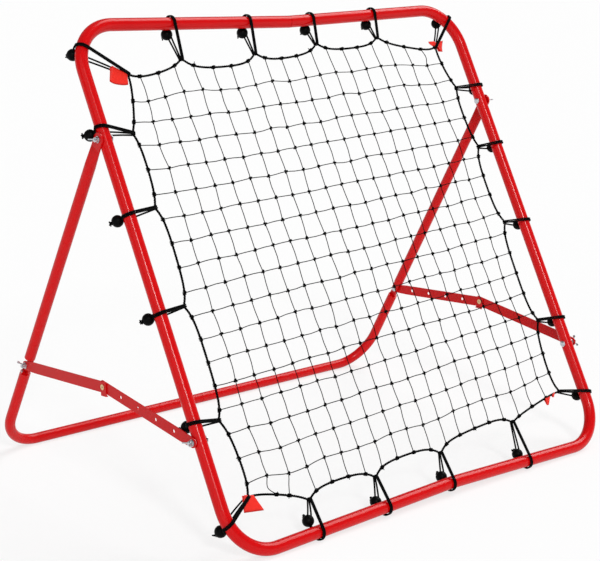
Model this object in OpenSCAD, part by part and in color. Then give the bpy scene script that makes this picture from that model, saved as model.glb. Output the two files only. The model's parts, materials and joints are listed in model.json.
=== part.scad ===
// Pitch back rebounder: a square tube frame that leans back, a U-shaped rear support hinged
// to its uprights, two folding stays, and a net hung in the frame by twenty ball bungees.
// Millimetres. +Z is up, -Y is the side that faces the player, X runs from side to side.
// The origin is on the ground, at the middle of the footprint.

/* [Frame] */
// Width and height of the frame, between tube centre lines
frame_size = 1025; // [950:5:1100]
// Outer diameter of the frame tube
tube_d = 25; // [24:0.5:26]
// Wall thickness of the tubes
tube_wall = 1.5; // [1.2:0.1:1.8]
// Centre line radius of the frame's corner bends
corner_r = 90; // [80:1:100]
// How far the frame leans back from upright, in degrees
lean = 29.5; // [26:0.5:32]
// How far the top and bottom bars are drawn in at their joints
bar_draw = 11; // [0:1:14]
// Joint of the top bar, to the right of the middle
top_joint_x = 21; // [-40:1:60]
// Joint of the bottom bar, to the right of the middle
bottom_joint_x = 41; // [-40:1:60]

/* [Rear support] */
// Outer diameter of the rear support's tube
leg_d = 22; // [21:0.5:23]
// Hinge bolt, measured up the upright from the bottom bar
hinge_up = 800; // [780:1:812]
// Ground distance from the bottom bar to the rear bar
rear_reach = 763.5; // [740:0.5:780]
// Centre line radius of the rear bends
rear_bend_r = 85; // [75:1:95]
// Joint of the rear bar, to the right of the middle
rear_joint_x = 2; // [-30:1:30]

/* [Stays] */
// Front stay pivot, measured up the upright from the bottom bar
front_pivot_up = 220; // [215:1:226]
// Rear stay pivot, measured down the leg from the hinge
rear_pivot_down = 558; // [555:1:561]
// Spacing of the holes in the stay bars
hole_pitch = 55; // [55:0.1:55.4]
// Width of the stay bars
stay_w = 22; // [20:0.5:23]
// Thickness of the stay bars
stay_t = 2.2; // [2:0.1:2.2]

/* [Hardware] */
// Bolt diameter
bolt_d = 6; // [5:0.5:6]
// Span across the wings of the wing nuts
wing_span = 25; // [20:1:28]

/* [Net] */
// Meshes across the net
net_cols = 18; // [8:1:18]
// Meshes down the net
net_rows = 16; // [8:1:16]
// Thickness of the mesh twine
twine_d = 2; // [1.6:0.1:2.4]
// Thickness of the border rope
rope_d = 4.5; // [4:0.5:6]
// How far the border is drawn in between two bungees
scallop = 15; // [0:1:20]

/* [Bungees] */
// Diameter of the bungee balls
ball_d = 23; // [22:0.5:26]
// Diameter of the elastic cord
cord_d = 3.5; // [3:0.25:4]

/* [Hidden] */

$fn = 64;
tube_r = tube_d / 2;
leg_r = leg_d / 2;
half_w = frame_size / 2;
bend_x = half_w - corner_r;
cut = 1;                    // how far a cutting shape runs past what it cuts
pivot_gap = 0.3;            // between parts that turn on each other
pivot_clearance = 0.1;      // radial play of a pivot hole on its bolt
bolt_r = bolt_d / 2;
seam_gap = 0.02;
seam_ring_w = 2;
seam_ring_t = 0.05;
cord_ring_w = 0.6;

// The leg's flattened end lies against the outside of the upright.
flat_t = 3;
flat_w = 26;
flat_len = 20;
flare_len = 38;
flare_slice = 0.5;          // thickness of the two sections that the flare joins
flare_sides = 32;
leg_x = half_w + tube_r + pivot_gap + flat_t / 2;

// Hinge and leg line, in the upright plane through one side.
hinge_y = hinge_up * sin(lean);
hinge_z = tube_r + hinge_up * cos(lean);
leg_angle = atan2(rear_reach - hinge_y, hinge_z - leg_r);
leg_len = norm([rear_reach - hinge_y, hinge_z - leg_r]);

// The two halves of each leg overlap in flat tongues at the rear stay pivot.
tongue_t = 2.9;
tongue_w = 17;
tongue_out = 2.3;           // from the upright's outside to the outer tongue's outer face
tongue_x = half_w + tube_r + tongue_out;
tongue_up = 19.6;           // from the pivot up to the round of the upper leg
tongue_down = 20;           // from the pivot down to the round of the lower leg
cap_t = 2;

// Stay bars: the perforated bar runs inside the plain one.
stay_len = 5 * hole_pitch;
stay_end = 10;              // bar beyond the knee hole
stay_lug_r = 9.5;
stay_lug_len = 35;
stay_hole_r = 3.5;
inner_stay_x = tongue_x + pivot_gap;
outer_stay_x = inner_stay_x + stay_t + pivot_gap;
stay_corner_r = 3;          // of the perforated bar's corners at the knee
tab_len = 17;               // of the tab below the plain bar's end
lip_len = 6;                // of the tab's part that turns in
lip_drop = 16;              // from the bar's centre line down to the lip
lip_t = 1.6;
rivet_r = 5.5;
rivet_head_t = 1.3;
rivet_shank_r = 3.3;
rivet_bore_r = 1.5;

// Pivots in the upright side plane, as [y, z], and the knee above the line that joins them.
front_pivot = [front_pivot_up * sin(lean), tube_r + front_pivot_up * cos(lean)];
rear_pivot = [hinge_y + rear_pivot_down * sin(leg_angle),
    hinge_z - rear_pivot_down * cos(leg_angle)];
pivot_span = rear_pivot - front_pivot;
span_angle = atan2(pivot_span[1], pivot_span[0]);
knee_angle = acos(norm(pivot_span) / 2 / stay_len);

// Hardware.
washer_r = 6.5;
washer_t = 1.2;
head_r = 6.5;
head_t = 3.5;
head_dome = 1.8;            // height of the head's sloping part
head_top_r = 3.9;
nut_h = 6;
nut_r = 5.5;
nut_taper = 1;              // of the hub, from base to top
wing_h = 13;                // from the nut's base to the wings' tips
wing_t = 2.4;
wing_tip_r = 2.5;
wing_foot = 0.6;            // where the wings start on the hub
wing_neck = 2;              // from the wing's shoulder up to the middle of its tip
wing_edge = 1.5;            // from the middle of the tip to the wing's outer edge
wing_inset = 0.3;           // of the outline within the round tip
hinge_nut_turn = [31, 20];  // of the left and right wing nuts, up from level
front_nut_turn = [2, 60];
rear_nut_turn = [51, 30];
bolt_tail = 2;              // bolt beyond the nut's hub
tail_clearance = 0.05;      // of the washers, spacers and nuts on the bolt
button_r = 3;
button_rise = 1.5;
button_depth = 7;           // how deep a snap button sits below the tube's surface
button_edge = 1;
spigot_len = 45;
spigot_root = 3;            // of the stub, inside the tube that carries it
spigot_gap = 0.2;
shoulder_w = 2;
shoulder_in = 3.5;          // from the joint back to the shoulder's start
shoulder_step = 0.5;
joint_gap = 0.9;            // the joined tubes meet at a slight angle
rear_button_angle = 150;

// Net border: where each side is held, as [across, up] in the frame plane, from corner to
// corner, and at which mesh counted along the net's full 19 by 18 meshes.
net_cells = [19, 18];
top_hold = [[-418, 923], [-282, 948], [-95, 950], [78, 963], [258, 969], [428, 937]];
bottom_hold = [[-450, 100], [-316, 62], [-144, 65], [40, 71], [266, 88], [438, 122]];
left_hold = [[-418, 923], [-449, 805], [-452, 657], [-457, 465], [-460, 247], [-450, 100]];
right_hold = [[428, 937], [450, 835], [455, 693], [454, 513], [450, 284], [438, 122]];
top_at = [0.4, 3.5, 7.5, 11.5, 15.5, 19];
bottom_at = [0, 2.5, 6.5, 10.5, 15.5, 19];
left_at = [-0.3, 2.5, 5.5, 9.5, 14.4, 17.5];
right_at = [0, 2.5, 5.5, 9.5, 14.4, 18];
mesh_corners = [[-437, 909], [428, 943], [-437, 78], [437, 117]];
edge_fade = 1.6;            // meshes over which the edge's shape dies away inside the net
scallop_power = 0.35;
rope_sides = 6;
rope_steps = 5;             // rope rings between two bungees
tag_size = [30, 7, 24];
tag_at = [[-438, 916], [434, 942], [-445, 88], [412, 116]]; // top left, top right, bottom
tag_turn = [16, 0, 10, -20];

// Bungees: where each cord goes round its tube. Top and bottom are given across, left and
// right up the upright, and three corners by their angle on the corner bend. The bottom
// right corner's goes round the upright, and is given up it.
top_band = [-281, -90, 81, 262];
bottom_band = [-318, -143, 38, 267];
left_band = [820, 650, 459, 252];
right_band = [834, 694, 508, 277];
top_left_band = 151;
top_right_band = 43;
bottom_left_band = 196;
bottom_right_band = 105;
cord_slack = 0.9;           // between the cord and the tube
rope_slack = 0.2;           // between the cord and the border rope
strand_gap = 0.1;           // from a bungee's middle to each of its two strands
cord_turn_r = tube_r + cord_slack + cord_d / 2;
rope_turn_r = rope_d / 2 + rope_slack + cord_d / 2;
ball_reach = cord_turn_r - cord_d / 2 + ball_d / 2; // ball centre from the tube's centre
ball_lead = 12;             // the cord's turn ends this far short of the ball, in degrees
// Place of each ball round its tube: 0 is towards the net and 90 is straight behind.
top_ball_at = [58, 58, 58, 58];
bottom_ball_at = [42, 42, 42, 42];
left_ball_at = [124, 124, 124, 90];
right_ball_at = [124, 112, 106, 106];
corner_ball_at = [96, 96, 96, 96];

RED = "#cc1419";
DULL_RED = "#b8181c";
ZINC = "#c9ccd0";
BRASS = "#e3cfa6";
BLACK = "#151515";
TAG = "#e2341d";

// The footprint's front edge is the cord round the bottom bar that lies lowest.
front_edge = cord_turn_r + cord_d / 2 - bar_drop(bottom_band[0], bottom_joint_x) * sin(lean);
mid_y = (rear_reach + leg_r - front_edge) / 2;

// ---- Placing ----------------------------------------------------------------------------

// x across, y behind the frame's plane, z up the frame.
module in_frame_plane() {
    translate([0, -mid_y, tube_r]) rotate([-lean, 0, 0]) children();
}

// x across, y behind the legs' plane, z up the legs, from the hinge axis.
module in_leg_plane() {
    translate([0, hinge_y - mid_y, hinge_z]) rotate([leg_angle, 0, 0]) children();
}

// side is -1 on the left and 1 on the right.
module on_side(side) {
    if (side > 0) children();
    else mirror([1, 0, 0]) children();
}

// A pivot in the side plane: x is outward and y and z are turned up by angle.
module at_pivot(side, pivot, angle) {
    on_side(side) translate([0, pivot[0] - mid_y, pivot[1]]) rotate([angle, 0, 0]) children();
}

module at_hinge(side) {
    on_side(side) in_frame_plane() translate([0, 0, hinge_up]) children();
}

// Along x, outward, from x = from.
module rod_x(from, length, r) {
    translate([from, 0, 0]) rotate([0, 90, 0]) cylinder(h = length, r = r);
}

// ---- Frame ------------------------------------------------------------------------------

function draw_angle(joint) = atan2(bar_draw, bend_x - joint);
function arm_len(joint) =
    (bend_x - corner_r * sin(draw_angle(joint)) - joint) / cos(draw_angle(joint));

// Hair-thin ring over a seam between a bend and a straight tube, which joins the two.
module seam_ring(r) {
    translate([0, 0, -seam_ring_w / 2]) cylinder(h = seam_ring_w, r = r + seam_ring_t);
}

// Corner bend at the upper right and the bar that leaves it, as a solid of radius r.
module corner_and_arm(joint, r, trim) {
    k = draw_angle(joint);
    translate([bend_x, 0, frame_size - corner_r]) rotate([90, 0, 0]) {
        rotate_extrude(angle = 90 + k) translate([corner_r, 0]) circle(r);
        rotate([0, 0, 90 + k]) translate([corner_r, 0, 0]) rotate([-90, 0, 0]) {
            translate([0, 0, seam_gap]) cylinder(h = arm_len(joint) - trim - seam_gap, r = r);
            seam_ring(r);
        }
    }
}

module mirror_up() {
    translate([0, 0, frame_size]) mirror([0, 0, 1]) children();
}

// C-shaped half on the right; the joints are where its two bars end.
module half_solid(top_joint, bottom_joint, r, trim) {
    translate([half_w, 0, corner_r + seam_gap])
        cylinder(h = frame_size - 2 * (corner_r + seam_gap), r = r);
    for (up = [corner_r, frame_size - corner_r]) translate([half_w, 0, up]) seam_ring(r);
    corner_and_arm(top_joint, r, trim);
    mirror_up() corner_and_arm(bottom_joint, r, trim);
}

// Joint in the top bar: x along the outer half's bar, into it.
module at_joint(joint) {
    translate([joint, 0, frame_size - bar_draw])
        rotate([0, 180 + draw_angle(-joint), 0]) children();
}

module at_both_joints() {
    at_joint(top_joint_x) children();
    mirror_up() at_joint(bottom_joint_x) children();
}

// Round stub that slides into the other tube, with the shoulder that carries it.
module spigot(outer_r, wall) {
    bore = outer_r - wall - spigot_gap;
    difference() {
        union() {
            rod_x(-spigot_root, spigot_len + spigot_root, bore);
            rod_x(-shoulder_in, shoulder_w, outer_r - shoulder_step);
        }
        rod_x(-spigot_root - cut, spigot_len + spigot_root + 2 * cut, bore - wall);
    }
}

// Hole for the snap button, towards local +y.
module button_hole(r) {
    translate([spigot_len / 2, 0, 0]) rotate([-90, 0, 0]) cylinder(h = tube_d, r = r);
}

module snap_button(outer_r) {
    straight = button_depth + button_rise - button_edge;
    translate([spigot_len / 2, outer_r - button_depth, 0]) rotate([-90, 0, 0]) {
        cylinder(h = straight, r = button_r);
        translate([0, 0, straight])
            cylinder(h = button_edge, r1 = button_r, r2 = button_r - button_edge);
    }
}

module upright_holes() {
    for (up = [hinge_up, front_pivot_up])
        translate([0, 0, up]) rod_x(half_w - tube_d, 2 * tube_d, bolt_r + tail_clearance);
}

module frame_half_left() {
    color(RED) in_frame_plane() difference() {
        mirror([1, 0, 0]) difference() {
            half_solid(-top_joint_x, -bottom_joint_x, tube_r, 0);
            half_solid(-top_joint_x, -bottom_joint_x, tube_r - tube_wall, -cut);
            upright_holes();
        }
        at_both_joints() button_hole(button_r + spigot_gap);
    }
}

module frame_half_right() {
    color(RED) in_frame_plane() difference() {
        union() {
            difference() {
                half_solid(top_joint_x, bottom_joint_x, tube_r, joint_gap);
                half_solid(top_joint_x, bottom_joint_x, tube_r - tube_wall, -cut);
                upright_holes();
            }
            at_both_joints() spigot(tube_r, tube_wall);
        }
        at_both_joints() button_hole(button_r + spigot_gap);
    }
}

module frame_snap_buttons() {
    color(ZINC) in_frame_plane() at_both_joints() snap_button(tube_r);
}

// ---- Rear support -----------------------------------------------------------------------

// Flat tongue round the rear stay pivot, its outer face at x = face.
module tongue(face, reach) {
    translate([face - tongue_t, 0, -rear_pivot_down]) {
        rotate([0, 90, 0]) cylinder(h = tongue_t, r = tongue_w / 2);
        translate([0, -tongue_w / 2, min(0, reach)]) cube([tongue_t, tongue_w, abs(reach)]);
    }
}

module rear_pivot_hole() {
    translate([0, 0, -rear_pivot_down]) rod_x(leg_x - leg_d, 2 * leg_d, bolt_r + tail_clearance);
}

// Upper leg: flattened and rounded at the hinge, round along its length, a tongue below.
module rear_leg(side) {
    tube_top = flat_len + flare_len;
    tube_end = rear_pivot_down - tongue_up;
    color(DULL_RED) on_side(side) in_leg_plane() difference() {
        union() {
            rod_x(leg_x - flat_t / 2, flat_t, flat_w / 2);
            translate([leg_x - flat_t / 2, -flat_w / 2, -flat_len])
                cube([flat_t, flat_w, flat_len]);
            hull() {
                translate([leg_x - flat_t / 2, -flat_w / 2, -flat_len - flare_slice])
                    cube([flat_t, flat_w, flare_slice]);
                translate([leg_x, 0, -tube_top])
                    cylinder(h = flare_slice, r = leg_r, $fn = flare_sides);
            }
            translate([leg_x, 0, -tube_end]) difference() {
                cylinder(h = tube_end - tube_top, r = leg_r);
                translate([0, 0, cap_t])
                    cylinder(h = tube_end - tube_top - 2 * cap_t, r = leg_r - tube_wall);
            }
            tongue(tongue_x - tongue_t, tongue_up + cap_t / 2);
        }
        rod_x(leg_x - leg_d, 2 * leg_d, bolt_r + pivot_clearance);
        rear_pivot_hole();
    }
}

// Lower leg, rear bend and half of the rear bar, as a solid of radius r.
module base_solid(joint, r, trim, top) {
    start = rear_pivot_down + tongue_down + top;
    translate([leg_x, 0, -leg_len + rear_bend_r])
        cylinder(h = leg_len - rear_bend_r - start, r = r);
    translate([leg_x - rear_bend_r, 0, -leg_len + rear_bend_r]) rotate([-90, 0, 0])
        rotate_extrude(angle = 90) translate([rear_bend_r, 0]) circle(r);
    translate([joint + trim, 0, -leg_len]) rotate([0, 90, 0])
        cylinder(h = leg_x - rear_bend_r - joint - trim, r = r);
}

module at_rear_joint() {
    translate([rear_joint_x, 0, -leg_len]) rotate([0, 180, 0]) children();
}

// The button in the rear bar faces up and forward.
module rear_button_turn() {
    rotate([rear_button_angle, 0, 0]) children();
}

module rear_base_left() {
    color(DULL_RED) in_leg_plane() difference() {
        mirror([1, 0, 0]) difference() {
            union() {
                difference() {
                    base_solid(-rear_joint_x, leg_r, 0, 0);
                    base_solid(-rear_joint_x, leg_r - tube_wall, -cut, cap_t);
                }
                tongue(tongue_x, -tongue_down - cap_t / 2);
            }
            rear_pivot_hole();
        }
        at_rear_joint() rear_button_turn() button_hole(button_r + spigot_gap);
    }
}

module rear_base_right() {
    color(DULL_RED) in_leg_plane() difference() {
        union() {
            difference() {
                base_solid(rear_joint_x, leg_r, joint_gap, 0);
                base_solid(rear_joint_x, leg_r - tube_wall, -cut, cap_t);
            }
            tongue(tongue_x, -tongue_down - cap_t / 2);
            at_rear_joint() spigot(leg_r, tube_wall);
        }
        rear_pivot_hole();
        at_rear_joint() rear_button_turn() button_hole(button_r + spigot_gap);
    }
}

module rear_snap_button() {
    color(ZINC) in_leg_plane() at_rear_joint() rear_button_turn() snap_button(leg_r);
}

// ---- Stays ------------------------------------------------------------------------------

// Outline of a bar from its pivot at the origin to past the knee, along +x, with corners of
// radius r at the knee.
module stay_outline(r) {
    tip = stay_len + stay_end;
    circle(stay_lug_r);
    polygon([[0, -stay_lug_r], [stay_lug_len, -stay_w / 2], [tip - r, -stay_w / 2],
        [tip, -stay_w / 2 + r], [tip, stay_w / 2 - r], [tip - r, stay_w / 2],
        [stay_lug_len, stay_w / 2], [0, stay_lug_r]]);
    if (r > 0) for (y = [-1, 1]) translate([tip - r, y * (stay_w / 2 - r)]) circle(r);
}

// Lays a flat outline in the side plane, its inner face at x = face.
module flat_in_side(face, t) {
    translate([face, 0, 0]) rotate([90, 0, 90]) linear_extrude(t) children();
}

module perforated_bar() {
    flat_in_side(inner_stay_x, stay_t) difference() {
        stay_outline(stay_corner_r);
        circle(bolt_r + pivot_clearance);
        for (i = [1 : 4]) translate([i * hole_pitch, 0]) circle(stay_hole_r);
        translate([stay_len, 0]) circle(rivet_shank_r + tail_clearance);
    }
}

// The tab under the plain bar's end turns in below the perforated bar and keeps the knee
// from rising. It is below the bar, which is towards -y on the front bar and +y on the rear.
module plain_bar(below) {
    tip = stay_len + stay_end;
    depth = lip_drop + lip_t;
    flat_in_side(outer_stay_x, stay_t) difference() {
        union() {
            stay_outline(0);
            translate([tip - tab_len, below < 0 ? -depth : 0]) square([tab_len, depth]);
        }
        circle(bolt_r + pivot_clearance);
        translate([stay_len, 0]) circle(rivet_shank_r + tail_clearance);
    }
    flat_in_side(inner_stay_x, outer_stay_x - inner_stay_x + stay_t / 2)
        translate([tip - lip_len, below < 0 ? -depth : lip_drop]) square([lip_len, lip_t]);
}

front_stay_angle = span_angle + knee_angle;
rear_stay_angle = 180 + span_angle - knee_angle;

module stay_front_left() {
    color(DULL_RED) at_pivot(-1, front_pivot, front_stay_angle) perforated_bar();
}

module stay_rear_left() {
    color(DULL_RED) at_pivot(-1, rear_pivot, rear_stay_angle) plain_bar(1);
}

module stay_front_right() {
    color(DULL_RED) at_pivot(1, front_pivot, front_stay_angle) plain_bar(-1);
}

module stay_rear_right() {
    color(DULL_RED) at_pivot(1, rear_pivot, rear_stay_angle) perforated_bar();
}

// The rivet's outer half turns with the plain bar.
module knee_rivet_head(side, pivot, angle) {
    color(BRASS) at_pivot(side, pivot, angle) translate([0, stay_len, 0]) difference() {
        union() {
            rod_x(outer_stay_x, stay_t, rivet_shank_r);
            rod_x(outer_stay_x + stay_t, rivet_head_t, rivet_r);
        }
        rod_x(outer_stay_x - cut, stay_t + rivet_head_t + 2 * cut, rivet_bore_r);
    }
}

// The rivet's inner half turns with the perforated bar.
module knee_rivet_tail(side, pivot, angle) {
    color(BRASS) at_pivot(side, pivot, angle) translate([0, stay_len, 0]) difference() {
        union() {
            rod_x(inner_stay_x, stay_t, rivet_shank_r);
            rod_x(inner_stay_x - rivet_head_t, rivet_head_t, rivet_r);
        }
        rod_x(inner_stay_x - rivet_head_t - cut, stay_t + rivet_head_t + 2 * cut,
            rivet_bore_r);
    }
}

module knee_rivet_head_left() { knee_rivet_head(-1, rear_pivot, rear_stay_angle); }
module knee_rivet_tail_left() { knee_rivet_tail(-1, front_pivot, front_stay_angle); }
module knee_rivet_head_right() { knee_rivet_head(1, front_pivot, front_stay_angle); }
module knee_rivet_tail_right() { knee_rivet_tail(1, rear_pivot, rear_stay_angle); }

// ---- Hardware ---------------------------------------------------------------------------

// Round-headed bolt along x, its head's flat side at x = seat and its end at x = end.
module bolt(seat, end) {
    rod_x(seat, end - seat, bolt_r);
    translate([seat, 0, 0]) rotate([0, -90, 0]) {
        cylinder(h = head_t - head_dome, r = head_r);
        translate([0, 0, head_t - head_dome])
            cylinder(h = head_dome, r1 = head_r, r2 = head_top_r);
    }
}

module washer(from, t) {
    difference() {
        rod_x(from, t, washer_r);
        rod_x(from - cut, t + 2 * cut, bolt_r + tail_clearance);
    }
}

// Half of the wings' outline: x outward along the bolt, y along the span. It widens from the
// hub to the round tip.
module wing_outline() {
    tip = [wing_h - wing_tip_r, wing_span / 2 - wing_tip_r];
    root = nut_r - nut_taper;
    polygon([[wing_foot, 0], [wing_foot, root], [wing_h / 3, nut_r],
        tip - [wing_tip_r, wing_neck], tip + [0, wing_tip_r - wing_inset],
        tip + [wing_edge, -wing_edge], [nut_h, root], [nut_h - wing_foot, 0]]);
    translate(tip) circle(wing_tip_r);
}

// Wing nut with its base at x = from, its wings turned by angle.
module wing_nut(from, angle) {
    translate([from, 0, 0]) rotate([angle, 0, 0]) difference() {
        union() {
            rotate([0, 90, 0]) cylinder(h = nut_h, r1 = nut_r, r2 = nut_r - nut_taper);
            translate([0, 0, -wing_t / 2]) linear_extrude(wing_t) {
                wing_outline();
                mirror([0, 1]) wing_outline();
            }
        }
        rod_x(-cut, wing_h + 2 * cut, bolt_r + tail_clearance);
    }
}

hinge_face = leg_x + flat_t / 2 + pivot_gap;
inner_face = inner_stay_x + stay_t + pivot_gap;
outer_face = outer_stay_x + stay_t + pivot_gap;
bolt_past = washer_t + nut_h + bolt_tail;
tongue_back = tongue_x - 2 * tongue_t;

module hinge_bolts() {
    color(ZINC) for (side = [-1, 1]) at_hinge(side) bolt(half_w - tube_r, hinge_face + bolt_past);
}

module hinge_washers() {
    color(ZINC) for (side = [-1, 1]) at_hinge(side) washer(hinge_face, washer_t);
}

module hinge_wing_nuts() {
    color(ZINC) {
        at_hinge(-1) wing_nut(hinge_face + washer_t, hinge_nut_turn[0]);
        at_hinge(1) wing_nut(hinge_face + washer_t, hinge_nut_turn[1]);
    }
}

// The left bar is the inner one at the front and the outer one at the rear.
module front_stay_bolts() {
    color(ZINC) {
        at_pivot(-1, front_pivot, 0) bolt(half_w - tube_r, inner_face + bolt_past);
        at_pivot(1, front_pivot, 0) bolt(half_w - tube_r, outer_face + bolt_past);
    }
}

module front_stay_spacers() {
    color(ZINC) {
        at_pivot(-1, front_pivot, 0)
            washer(half_w + tube_r, inner_stay_x - pivot_gap - half_w - tube_r);
        at_pivot(1, front_pivot, 0)
            washer(half_w + tube_r, outer_stay_x - pivot_gap - half_w - tube_r);
    }
}

module front_stay_washers() {
    color(ZINC) {
        at_pivot(-1, front_pivot, 0) washer(inner_face, washer_t);
        at_pivot(1, front_pivot, 0) washer(outer_face, washer_t);
    }
}

module front_stay_wing_nuts() {
    color(ZINC) {
        at_pivot(-1, front_pivot, 0) wing_nut(inner_face + washer_t, front_nut_turn[0]);
        at_pivot(1, front_pivot, 0) wing_nut(outer_face + washer_t, front_nut_turn[1]);
    }
}

module rear_stay_bolts() {
    color(ZINC) {
        at_pivot(-1, rear_pivot, 0) bolt(tongue_back, outer_face + bolt_past);
        at_pivot(1, rear_pivot, 0) bolt(tongue_back, inner_face + bolt_past);
    }
}

module rear_stay_spacer() {
    color(ZINC) at_pivot(-1, rear_pivot, 0) washer(tongue_x, outer_stay_x - pivot_gap - tongue_x);
}

module rear_stay_washers() {
    color(ZINC) {
        at_pivot(-1, rear_pivot, 0) washer(outer_face, washer_t);
        at_pivot(1, rear_pivot, 0) washer(inner_face, washer_t);
    }
}

module rear_stay_wing_nuts() {
    color(ZINC) {
        at_pivot(-1, rear_pivot, 0) wing_nut(outer_face + washer_t, rear_nut_turn[0]);
        at_pivot(1, rear_pivot, 0) wing_nut(inner_face + washer_t, rear_nut_turn[1]);
    }
}

// ---- Net --------------------------------------------------------------------------------

function mix(a, b, t) = a + (b - a) * t;
function clip(x, lo, hi) = max(lo, min(hi, x));
function span_of(at, k, i = 0) = i < len(at) - 2 && k > at[i + 1] ? span_of(at, k, i + 1) : i;

// Point on a side at mesh k, drawn in towards the net by the scallop between two holds.
function side_point(hold, at, k, inward) =
    let (c = clip(k, at[0], at[len(at) - 1]), i = span_of(at, c),
        t = (c - at[i]) / (at[i + 1] - at[i]), dip = scallop * pow(4 * t * (1 - t), scallop_power))
    mix(hold[i], hold[i + 1], t) + inward * dip;

function top_point(s) = side_point(top_hold, top_at, s * net_cells[0], [0, -1]);
function bottom_point(s) = side_point(bottom_hold, bottom_at, s * net_cells[0], [0, 1]);
function left_point(t) = side_point(left_hold, left_at, t * net_cells[1], [1, 0]);
function right_point(t) = side_point(right_hold, right_at, t * net_cells[1], [-1, 0]);

// Straight mesh without the pull of the bungees; s runs right and t runs down.
function even_point(s, t) =
    mix(mix(mesh_corners[0], mesh_corners[1], s), mix(mesh_corners[2], mesh_corners[3], s), t);
function fade(cells) = exp(-cells / edge_fade);

// The sides' shape, faded towards the middle of the net.
function net_point(s, t) =
    let (l = fade(s * net_cells[0]), r = fade((1 - s) * net_cells[0]),
        u = fade(t * net_cells[1]), d = fade((1 - t) * net_cells[1]))
    even_point(s, t) + (top_point(s) - even_point(s, 0)) * u
    + (bottom_point(s) - even_point(s, 1)) * d
    + (left_point(t) - even_point(0, t)) * l + (right_point(t) - even_point(1, t)) * r
    - (top_point(0) - even_point(0, 0)) * l * u - (top_point(1) - even_point(1, 0)) * r * u
    - (bottom_point(0) - even_point(0, 1)) * l * d
    - (bottom_point(1) - even_point(1, 1)) * r * d;

knots = [for (j = [0 : net_rows]) [for (i = [0 : net_cols])
    net_point(i / net_cols, j / net_rows)]];

// Each knot has four corner points, in front and behind, where the twine's sides meet.
corner_signs = [[-1, 1], [1, 1], [1, -1], [-1, -1]];
net_points = [for (j = [0 : net_rows]) for (i = [0 : net_cols]) for (face = [-1, 1])
    for (c = corner_signs)
        let (p = knots[j][i] + c * twine_d / 2) [p[0], face * twine_d / 2, p[1]]];
function knot_id(i, j, face, corner) = ((j * (net_cols + 1) + i) * 2 + face) * 4 + corner;

// Two triangles from four corners in order, turned round where flip is 1.
function quad(a, b, c, d, flip = 0) = flip == 0
    ? [[a, b, c], [a, c, d]] : [[c, b, a], [d, c, a]];

knot_faces = [for (j = [0 : net_rows]) for (i = [0 : net_cols]) for (f = [0, 1])
    each quad(knot_id(i, j, f, 0), knot_id(i, j, f, 1), knot_id(i, j, f, 2),
        knot_id(i, j, f, 3), f)];
row_faces = [for (j = [0 : net_rows]) for (i = [0 : net_cols - 1]) for (f = [0, 1])
    each quad(knot_id(i, j, f, 1), knot_id(i + 1, j, f, 0), knot_id(i + 1, j, f, 3),
        knot_id(i, j, f, 2), f)];
column_faces = [for (j = [0 : net_rows - 1]) for (i = [0 : net_cols]) for (f = [0, 1])
    each quad(knot_id(i, j, f, 3), knot_id(i, j, f, 2), knot_id(i, j + 1, f, 1),
        knot_id(i, j + 1, f, 0), f)];
row_walls = [for (j = [0 : net_rows]) for (i = [0 : net_cols - 1]) each concat(
    quad(knot_id(i, j, 1, 1), knot_id(i + 1, j, 1, 0), knot_id(i + 1, j, 0, 0),
        knot_id(i, j, 0, 1)),
    quad(knot_id(i, j, 0, 2), knot_id(i + 1, j, 0, 3), knot_id(i + 1, j, 1, 3),
        knot_id(i, j, 1, 2)))];
column_walls = [for (j = [0 : net_rows - 1]) for (i = [0 : net_cols]) each concat(
    quad(knot_id(i, j, 0, 3), knot_id(i, j + 1, 0, 0), knot_id(i, j + 1, 1, 0),
        knot_id(i, j, 1, 3)),
    quad(knot_id(i, j, 1, 2), knot_id(i, j + 1, 1, 1), knot_id(i, j + 1, 0, 1),
        knot_id(i, j, 0, 2)))];
// The knots' own sides, on the net's outer edge only.
end_walls = concat(
    [for (i = [0 : net_cols]) each concat(
        quad(knot_id(i, 0, 1, 0), knot_id(i, 0, 1, 1), knot_id(i, 0, 0, 1), knot_id(i, 0, 0, 0)),
        quad(knot_id(i, net_rows, 0, 3), knot_id(i, net_rows, 0, 2),
            knot_id(i, net_rows, 1, 2), knot_id(i, net_rows, 1, 3)))],
    [for (j = [0 : net_rows]) each concat(
        quad(knot_id(0, j, 0, 0), knot_id(0, j, 0, 3), knot_id(0, j, 1, 3), knot_id(0, j, 1, 0)),
        quad(knot_id(net_cols, j, 1, 1), knot_id(net_cols, j, 1, 2),
            knot_id(net_cols, j, 0, 2), knot_id(net_cols, j, 0, 1)))]);

module net_mesh() {
    color(BLACK) in_frame_plane() polyhedron(net_points,
        concat(knot_faces, row_faces, column_faces, row_walls, column_walls, end_walls));
}

// Mesh counts at the rope's rings along one side, evenly between its holds.
function ring_stops(at) = [for (i = [0 : len(at) - 2]) for (n = [0 : rope_steps - 1])
    mix(at[i], at[i + 1], n / rope_steps)];
function backward_stops(at) = [for (i = [len(at) - 1 : -1 : 1]) for (n = [0 : rope_steps - 1])
    mix(at[i], at[i - 1], n / rope_steps)];

rope_path = concat(
    [for (k = ring_stops(top_at)) side_point(top_hold, top_at, k, [0, -1])],
    [for (k = ring_stops(right_at)) side_point(right_hold, right_at, k, [-1, 0])],
    [for (k = backward_stops(bottom_at)) side_point(bottom_hold, bottom_at, k, [0, 1])],
    [for (k = backward_stops(left_at)) side_point(left_hold, left_at, k, [1, 0])]);
rope_count = len(rope_path);

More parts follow.
